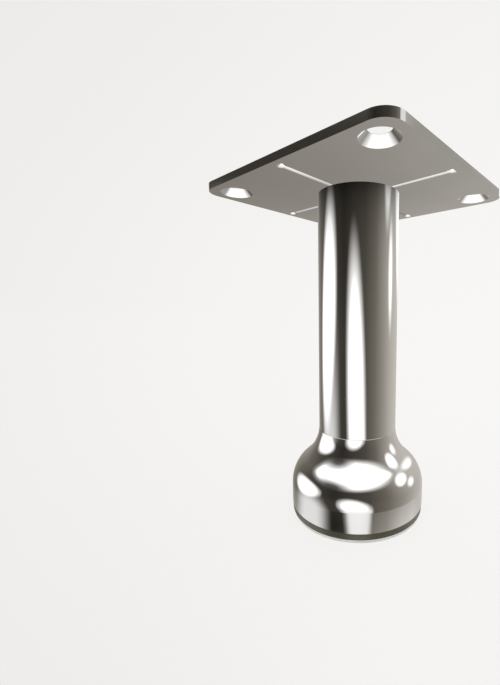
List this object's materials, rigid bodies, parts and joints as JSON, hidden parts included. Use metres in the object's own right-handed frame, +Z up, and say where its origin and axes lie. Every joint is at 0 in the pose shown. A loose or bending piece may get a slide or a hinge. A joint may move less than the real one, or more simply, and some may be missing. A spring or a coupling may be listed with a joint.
{
  "type": "adjustable furniture leg",
  "caption": "Polished metal furniture leg: square screw-on mounting plate, round tube and a domed levelling foot that screws in and out on a swivel base.",
  "frame": {"origin": "centre of the glide pad's underside, on the floor, with the foot screwed fully in", "axes": "+Z up the leg's axis to the mounting plate, +X and +Y along the plate's sides"},
  "size_m": [0.065, 0.065, 0.1],
  "materials": {
    "plate_metal": "polished plated steel sheet, a little darker than the tube",
    "tube_chrome": "polished chrome on drawn steel tube",
    "foot_chrome": "polished chrome on a zinc casting",
    "turned_steel": "zinc-plated turned steel",
    "base_plastic": "moulded dark grey plastic, satin",
    "pad_nylon": "off-white nylon glide, matt"
  },
  "bodies": {
    "leg": {"mounting_plate": "plate_metal", "leg_tube": "tube_chrome", "top_slug": "turned_steel", "foot_slug": "turned_steel", "plate_screw": "turned_steel"},
    "glide": {"base_disc": "base_plastic", "glide_pad": "pad_nylon"},
    "foot": {"bell_foot": "foot_chrome", "levelling_bolt": "turned_steel"}
  },
  "joints": [
    {"name": "foot_travel", "type": "slide", "parent": "leg", "child": "glide", "axis": [0, 0, -1], "range_m": [0, 0.01]},
    {"name": "foot_turn", "type": "hinge", "parent": "glide", "child": "foot", "pos_m": [0, 0, 0], "axis": [0, 0, -1], "range_deg": [0, 2400]}
  ],
  "couplings": [
    {"joint": "foot_turn", "follows": "foot_travel", "rad_per_m": 4188.8}
  ]
}
